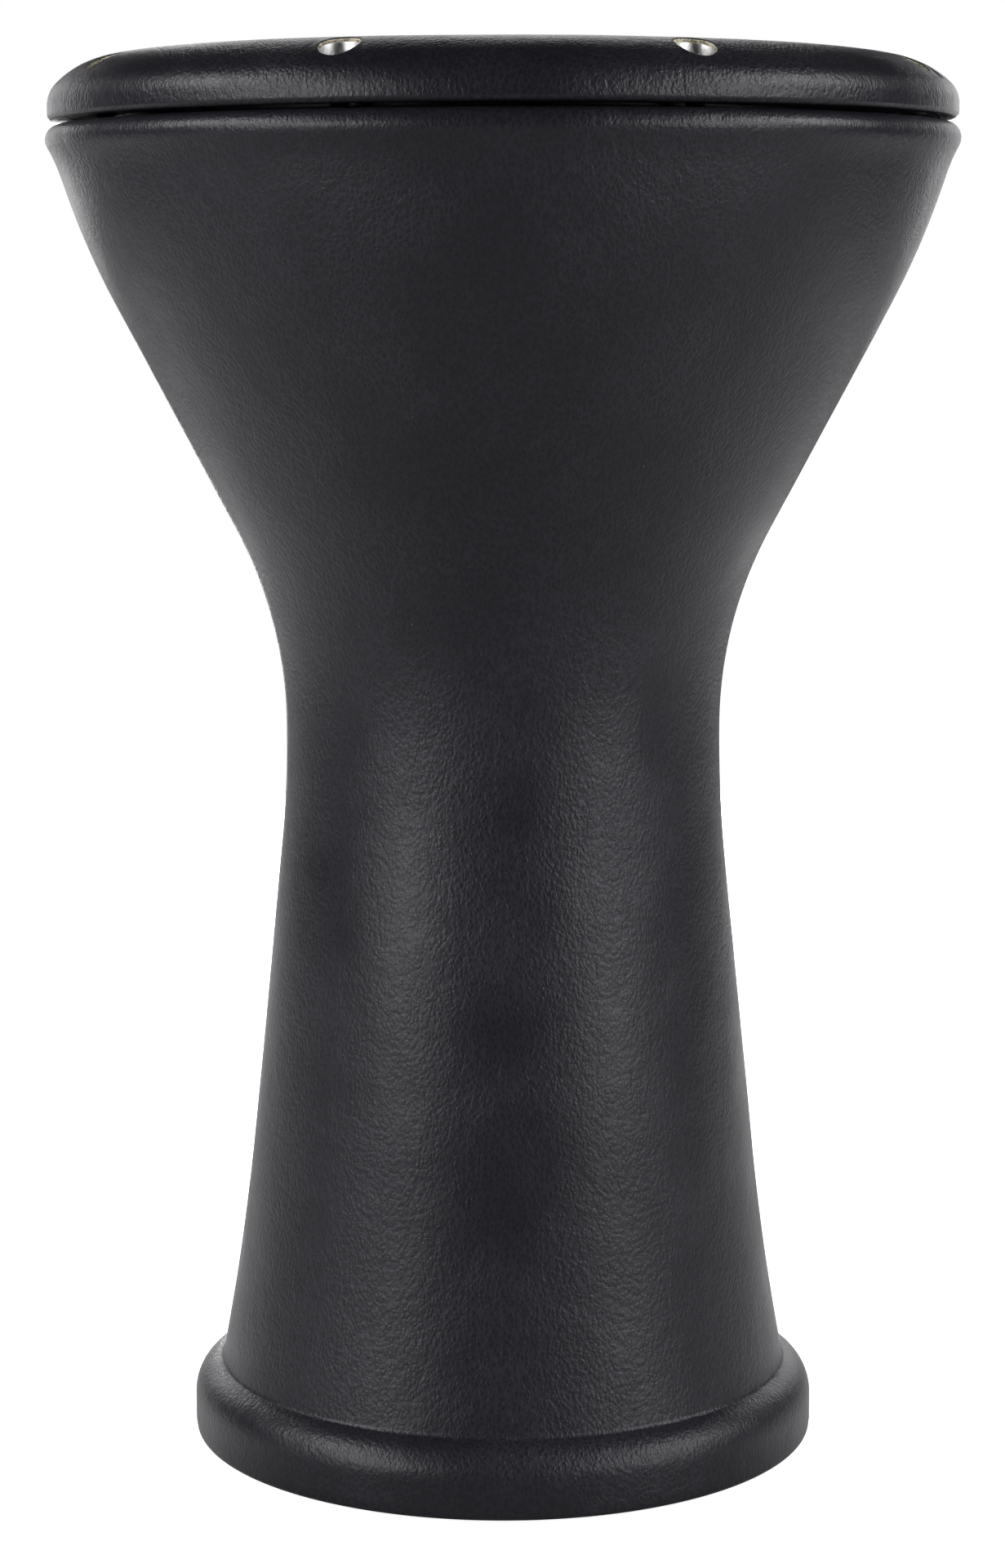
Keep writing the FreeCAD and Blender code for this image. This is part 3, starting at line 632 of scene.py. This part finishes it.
def shell_angles(count):
    """Column angles, closer together at the back seam."""
    reach = SEAM_STEPS[-1] + 2 * pi / count
    plain = [-pi + reach + (2 * pi - 2 * reach) * i / (count - 1) for i in range(count)]
    left = [-pi + s for s in SEAM_STEPS]
    right = [pi - s for s in reversed(SEAM_STEPS[1:])]
    return left + plain + right


def make_shell_cover():
    outline = shell_outline(1.5 * MM)
    first, last = outline[0], outline[-1]
    outline = [(first[0], first[1] + COVER, -1, 0), (first[0], first[1] + 0.3 * MM, -1, 0)] + outline
    outline += [(last[0] - 0.15 * MM, last[1] - 0.25 * MM, -1, 0), (last[0] - 0.15 * MM, FLANGE_TOP, -1, 0)]
    angles = shell_angles(470)
    columns, rows = len(angles), len(outline)
    vertices = []
    for r, z, nr, nz in outline:
        inside_hem = z < 3.5 * MM or (z > FLANGE_TOP - 1 * MM and r < 136 * MM)
        calm = 0.12 if inside_hem else 1.0
        wander = 0.9 * MM / r * noise.noise(Vector((z * 22, 3.7, 0)))
        for angle in angles:
            off_seam = (pi - abs(angle)) * r
            near = max(0.0, 1 - (pi - abs(angle)) / 0.5)
            turned = angle + wander * near
            p = at_angle(turned, r, z)
            swell = 0.20 * MM * soft_noise(p, 13.0) + 0.06 * MM * soft_noise(p, 42.0, 5.0)
            swell += 0.02 * MM * soft_noise(p, 120.0, 9.0)
            groove = 0.55 * MM / (1 + (off_seam / (0.30 * MM)) ** 4)
            lip = 0.20 * MM / (1 + ((off_seam - 1.3 * MM) / (0.8 * MM)) ** 2)
            d = calm * (NAP * max(0.0, nr) + swell - groove + lip)
            if z < 0.6 * MM:
                d = min(d, 0.0)
            low = LEAN * max(0.0, 1 - (shell_high[2] - z) / (16 * MM))
            vertices.append(at_angle(turned, r + nr * d, max(z + nz * d + low * p[0], 0.0001)))
    faces = []
    for i in range(rows - 1):
        for j in range(columns):
            k = (j + 1) % columns
            faces.append((i * columns + j, i * columns + k, (i + 1) * columns + k, (i + 1) * columns + j))
    cover = make_piece("shell_leatherette", vertices, faces, [LEATHER_SHELL])
    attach(cover, "drum_shell")
    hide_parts("shell_cover")
    return cover


BOLTS = 8
HOLE = 6.05 * MM
PATCH = radians(4.0)
PATCH_COLUMNS = 20
BETWEEN_COLUMNS = 64
bolt_boxes = [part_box(f"tuning_bolt_{k + 1}") for k in range(BOLTS)]
bolt_places = [((low[0] + high[0]) / 2, (low[1] + high[1]) / 2) for low, high in bolt_boxes]
BOLT_CIRCLE = hypot(*bolt_places[0])


def interpolate(table, x):
    """y at x in a list of (x, y) sorted by falling x."""
    low, high = 0, len(table) - 1
    while high - low > 1:
        middle = (low + high) // 2
        if table[middle][0] >= x:
            low = middle
        else:
            high = middle
    (x0, y0), (x1, y1) = table[low], table[high]
    return y0 + (y1 - y0) * (x - x0) / (x1 - x0)


def make_ring_cover():
    fine = [p for p in ring_outline(0.2 * MM) if p[3] > 0.02]
    skin = [(r, z) for r, z, nr, nz in fine]
    metal = [(r - nr * COVER, z - nz * COVER) for r, z, nr, nz in fine]
    outline = ring_outline(1.0 * MM)
    first, last = outline[0], outline[-1]
    outline = [(first[0], first[1] + COVER, -1, 0), (first[0], first[1] + 0.2 * MM, -1, 0)] + outline
    outline += [(last[0] + 0.3 * MM, last[1] - 0.1 * MM, 0, -1), (last[0] + COVER, last[1] - 0.1 * MM, 0, -1)]
    rows = len(outline)
    crown = [i for i, (r, z, nr, nz) in enumerate(outline) if nz > 0.25 and r < 137 * MM]
    row_in, row_out = crown[0], next(i for i in crown if outline[i][0] < 119.2 * MM)

    bolt_angles = sorted(atan2(x, -y) for x, y in bolt_places)
    angles, patch_starts = [], []
    for here, following in zip(bolt_angles, bolt_angles[1:] + [bolt_angles[0] + 2 * pi]):
        patch_starts.append(len(angles))
        angles += [here - PATCH + 2 * PATCH * i / PATCH_COLUMNS for i in range(PATCH_COLUMNS)]
        begin, end = here + PATCH, following - PATCH
        angles += [begin + (end - begin) * i / BETWEEN_COLUMNS for i in range(BETWEEN_COLUMNS)]
    columns = len(angles)

    def wave(p):
        return 0.10 * MM * soft_noise(p, 26.0, 2.0) + 0.05 * MM * soft_noise(p, 90.0, 4.0)

    vertices = []
    for r, z, nr, nz in outline:
        calm = 0.15 if nr < -0.1 or nz < -0.3 else 1.0
        for angle in angles:
            p = at_angle(angle, r, z)
            d = calm * (wave(p) + NAP * max(0.0, nr))
            low = LEAN * max(0.0, 1 - (z - ring_low[2]) / (16 * MM))
            vertices.append(at_angle(angle, r + nr * d, z + nz * d + low * p[0]))

    open_cells = set()
    for start in patch_starts:
        for i in range(row_in, row_out):
            for j in range(start, start + PATCH_COLUMNS):
                open_cells.add((i, j))
    faces, kinds = [], []
    for i in range(rows - 1):
        for j in range(columns):
            if (i, j) in open_cells:
                continue
            k = (j + 1) % columns
            faces.append((i * columns + j, i * columns + k, (i + 1) * columns + k, (i + 1) * columns + j))
            kinds.append(0)

    # depth down the cut edge as a share of its height, and how far it stands back from the bore
    cut_edge = [(0.04, 0.00), (0.10, -0.04), (0.17, -0.04), (0.20, 0.06), (0.52, 0.02)]
    cut_edge += [(0.58, 0.40), (0.76, 0.42), (0.80, 0.05), (1.0, 0.0)]
    for start, here in zip(patch_starts, bolt_angles):
        rim = [(row_in, start + j) for j in range(PATCH_COLUMNS)]
        rim += [(i, start + PATCH_COLUMNS) for i in range(row_in, row_out)]
        rim += [(row_out, start + j) for j in range(PATCH_COLUMNS, 0, -1)]
        rim += [(i, start) for i in range(row_out, row_in, -1)]
        loop = [i * columns + j for i, j in rim]
        centre = at_angle(here, BOLT_CIRCLE, 0)
        rays = []
        for index in loop:
            dx, dy = vertices[index][0] - centre[0], vertices[index][1] - centre[1]
            rays.append((atan2(dy, dx), hypot(dx, dy)))
        previous = loop
        for share in (0.25, 0.45, 0.62, 0.76, 0.87, 0.95, 1.0):
            ring = []
            for ray, reach in rays:
                hand_cut = 0.10 * MM * noise.noise(Vector((4 * cos(ray) + 9 * here, 4 * sin(ray), 1.0)))
                hole = HOLE + hand_cut * share
                s = reach + (hole - reach) * share
                x, y = centre[0] + s * cos(ray), centre[1] + s * sin(ray)
                z = interpolate(skin, hypot(x, y)) + wave((x, y, 0.43))
                curl = max(0.0, 1 - (s - HOLE) / (1.3 * MM))
                z += 0.10 * MM * curl - 0.16 * MM * curl ** 6
                ring.append(len(vertices))
                vertices.append((x, y, z))
            for j in range(len(loop)):
                k = (j + 1) % len(loop)
                faces.append((previous[j], previous[k], ring[k], ring[j]))
                kinds.append(0)
            previous = ring
        top = [vertices[index] for index in previous]
        for depth, back in cut_edge:
            ring = []
            for (ray, reach), (x, y, z) in zip(rays, top):
                floor_z = interpolate(metal, hypot(x, y)) - 0.05 * MM
                fray = 0.10 * MM * noise.noise(Vector((60 * ray, 7.0 * depth, here))) * min(1.0, depth * 3)
                s = back * MM + fray
                ring.append(len(vertices))
                vertices.append((x + s * cos(ray), y + s * sin(ray), z + (floor_z - z) * depth))
            for j in range(len(loop)):
                k = (j + 1) % len(loop)
                faces.append((previous[j], previous[k], ring[k], ring[j]))
                kinds.append(0 if depth < 0.19 else 1)
            previous = ring
    cover = make_piece("ring_leatherette", vertices, faces, [LEATHER_RING, BACKING], kinds)
    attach(cover, "tension_assembly")
    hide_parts("ring_cover")
    return cover


LEATHER_SHELL = leatherette("leatherette_shell", [(22 * MM, 8 * MM), (409.5 * MM, 6 * MM)], 0.155 * MM)
LEATHER_RING = leatherette("leatherette_ring", [(419 * MM, 8 * MM)], 0.17 * MM)
BACKING = woven_backing()
make_shell_cover()
make_ring_cover()

# ---------------------------------------------------------------- screws


HEAD_HEIGHT = 6.0 * MM


def screw_rings():
    """Rings of the screw from its socket's bottom round the head and down the thread, seat face at 0."""
    low, high = bolt_boxes[0]
    head_radius = (high[0] - low[0]) / 2
    head = HEAD_HEIGHT
    length = high[2] - low[2] - head
    thread, pitch, depth = 3.0 * MM, 1.0 * MM, 0.54 * MM
    flats, socket = 5.0 * MM, 3.2 * MM
    sides, teeth = 120, 60

    def hexagon(a):
        return flats / 2 / cos(((a + pi / 6) % (pi / 3)) - pi / 6)

    def knurl(a):
        return head_radius - 0.11 * MM * (0.5 - 0.5 * cos(teeth * a)) ** 0.6

    top = [
        (lambda a: 0.15 * MM, head - socket - 0.9 * MM),
        (lambda a: 0.9 * hexagon(a), head - socket - 0.15 * MM),
        (lambda a: hexagon(a), head - socket),
        (lambda a: hexagon(a), head - 0.30 * MM),
        (lambda a: max(hexagon(a), 2.9 * MM), head - 0.12 * MM),
        (lambda a: 3.08 * MM, head),
        (lambda a: head_radius - 0.75 * MM, head),
        (lambda a: head_radius - 0.35 * MM, head - 0.10 * MM),
        (lambda a: head_radius - 0.12 * MM, head - 0.35 * MM),
        (lambda a: head_radius - 0.11 * MM, head - 0.60 * MM),
        (knurl, head - 0.80 * MM),
        (knurl, 0.75 * MM),
        (lambda a: head_radius - 0.11 * MM, 0.55 * MM),
        (lambda a: head_radius - 0.12 * MM, 0.15 * MM),
        (lambda a: head_radius - 0.30 * MM, 0.0),
        (lambda a: thread, 0.0),
    ]
    head_grid = [[(f(2 * pi * j / sides), 2 * pi * j / sides, z) for j in range(sides)] for f, z in top]
    around, steps = 32, 9
    count = int(length / pitch * steps)
    thread_grid = []
    for i in range(count + 1):
        z = -length * i / count
        row = []
        for j in range(around):
            a = 2 * pi * j / around
            phase = (-z / pitch + a / (2 * pi)) % 1.0
            ridge = abs(2 * phase - 1)
            cut = depth * min(1.0, max(0.0, 1.25 * ridge - 0.1))
            fade = min(1.0, -z / (1.5 * MM))
            tip = max(0.0, 1 - (length + z) / (0.7 * MM)) * 0.6 * MM
            row.append((thread - max(cut * fade, tip), a, z))
        thread_grid.append(row)
    thread_grid.append([(0.3 * MM, 2 * pi * j / around, -length) for j in range(around)])
    return head_grid, thread_grid


def make_screws(material):
    """The eight screws, each turned a little further than the last."""
    grids = screw_rings()
    for k, ((x, y), (_, high)) in enumerate(zip(bolt_places, bolt_boxes)):
        seat = high[2] - HEAD_HEIGHT
        turn = atan2(y, x) + 0.37 * k
        vertices, faces = [], []
        for grid in grids:
            base, width = len(vertices), len(grid[0])
            for row in grid:
                vertices += [(r * cos(a + turn), r * sin(a + turn), z) for r, a, z in row]
            for i in range(len(grid) - 1):
                for j in range(width):
                    n = (j + 1) % width
                    here, below = base + i * width, base + (i + 1) * width
                    faces.append((here + j, below + j, below + n, here + n))
            for end, order in ((0, 1), (len(grid) - 1, -1)):
                if grid[end][0][0] < 1 * MM:
                    faces.append(tuple(base + end * width + j for j in range(width))[::order])
        screw = make_piece(f"screw_{k + 1}", vertices, faces, [material], sharp_angle=35)
        screw.location = (x, y, seat)
        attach(screw, f"bolt_{k + 1}")
        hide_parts(f"tuning_bolt_{k + 1}")


STEEL = zinc_steel()
make_screws(STEEL)

# ---------------------------------------------------------------- the frame's own nodes


def paint(node_name, material):
    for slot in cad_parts[node_name].material_slots:
        slot.material = material


paint("shell", cast_aluminium())
paint("tension_ring", machined_aluminium())
paint("head_hoop", satin_aluminium())
paint("head_film", film_plastic())
for number in range(BOLTS):
    paint(f"washer_{number + 1}", STEEL)
